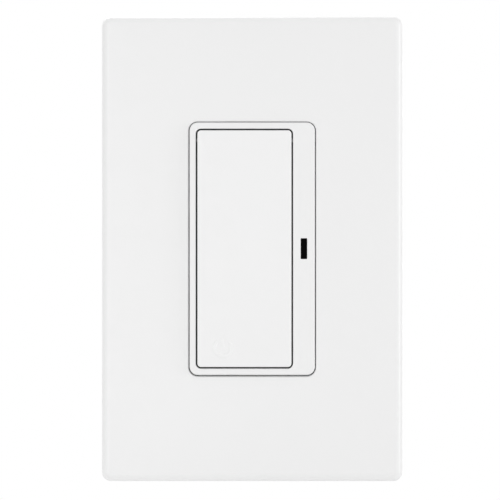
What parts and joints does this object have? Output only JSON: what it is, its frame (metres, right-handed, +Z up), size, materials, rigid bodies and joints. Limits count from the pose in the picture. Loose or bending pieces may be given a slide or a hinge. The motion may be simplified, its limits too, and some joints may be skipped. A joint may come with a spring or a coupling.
{
  "type": "smart light switch",
  "caption": "Wall-box light switch with a hinged push pad, a side indicator window and a screwless cover plate, on a metal strap with a rear housing.",
  "frame": {"origin": "centre of the device on the wall's surface, where the strap's rear face lies", "axes": "+Z up along the switch's length, +Y into the wall box, +X to the right for someone who faces the switch; the front faces -Y"},
  "size_m": [0.0796, 0.0383, 0.1228],
  "materials": {
    "cover_plastic": "smooth white, softly glossy",
    "bezel_plastic": "smooth white, softly glossy",
    "pad_plastic": "smooth white, satin",
    "inner_plastic": "matte white moulding",
    "housing_plastic": "fine grained black moulding",
    "plunger_plastic": "matte",
    "lens_plastic": "smoked and polished",
    "led_body": "clear moulded",
    "strap_steel": "zinc plated sheet",
    "screw_steel": "zinc plated",
    "spring_steel": "drawn wire",
    "clamp_steel": "zinc plated",
    "shield_tin": "tinned sheet",
    "ground_steel": "green dyed zinc",
    "terminal_brass": "bright brass",
    "retainer_fibre": "pressed fibre",
    "circuit_board": "green solder mask",
    "chip_case": "moulded epoxy",
    "relay_case": "moulded",
    "ferrite": "ground ferrite",
    "coil_tape": "film tape over wire",
    "can_sleeve": "shrunk sleeve",
    "film_case": "moulded case",
    "varistor_coat": "dipped epoxy",
    "resistor_body": "lacquered"
  },
  "bodies": {
    "root": {"wall_plate": "cover_plastic", "mounting_plate": "inner_plastic", "plate_screw_top": "screw_steel", "plate_screw_bottom": "screw_steel", "strap": "strap_steel", "bezel": "bezel_plastic", "hinge_rod": "spring_steel", "return_spring_left": "spring_steel", "return_spring_right": "spring_steel", "indicator_lens": "lens_plastic", "status_led": "led_body", "tact_switch": "chip_case", "box_screw_top": "screw_steel", "box_screw_bottom": "screw_steel", "retainer_top": "retainer_fibre", "retainer_bottom": "retainer_fibre", "ground_screw": "ground_steel", "rear_housing": "housing_plastic", "housing_screw_1": "screw_steel", "housing_screw_2": "screw_steel", "housing_screw_3": "screw_steel", "housing_screw_4": "screw_steel", "control_board": "circuit_board", "radio_board": "circuit_board", "radio_shield": "shield_tin", "board_header": "chip_case", "power_board": "circuit_board", "relay": "relay_case", "transformer_core": "ferrite", "transformer_coil": "coil_tape", "bulk_capacitor": "can_sleeve", "output_capacitor": "can_sleeve", "film_capacitor": "film_case", "varistor": "varistor_coat", "fusible_resistor": "resistor_body", "rectifier": "chip_case", "terminal_1": "terminal_brass", "terminal_2": "terminal_brass", "terminal_3": "terminal_brass", "terminal_4": "terminal_brass", "clamp_plate_1": "clamp_steel", "clamp_plate_2": "clamp_steel", "clamp_plate_3": "clamp_steel", "clamp_plate_4": "clamp_steel", "terminal_screw_1": "terminal_brass", "terminal_screw_2": "terminal_brass", "terminal_screw_3": "terminal_brass", "terminal_screw_4": "terminal_brass"},
    "pad": {"push_pad": "pad_plastic"},
    "plunger": {"switch_plunger": "plunger_plastic"}
  },
  "joints": [
    {"name": "pad_hinge", "type": "hinge", "parent": "root", "child": "pad", "pos_m": [-0.00205, -0.00485, 0.02858], "axis": [1, 0, 0], "range_deg": [0, 0.9], "stiffness_Nm_per_rad": 2, "springref_deg": -1.72, "deforming": ["return_spring_left", "return_spring_right"]},
    {"name": "plunger_slide", "type": "slide", "parent": "root", "child": "plunger", "axis": [0, 1, 0], "range_m": [0, 0.00082]}
  ],
  "couplings": [
    {"joint": "plunger_slide", "follows": "pad_hinge", "m_per_rad": 0.0506}
  ]
}
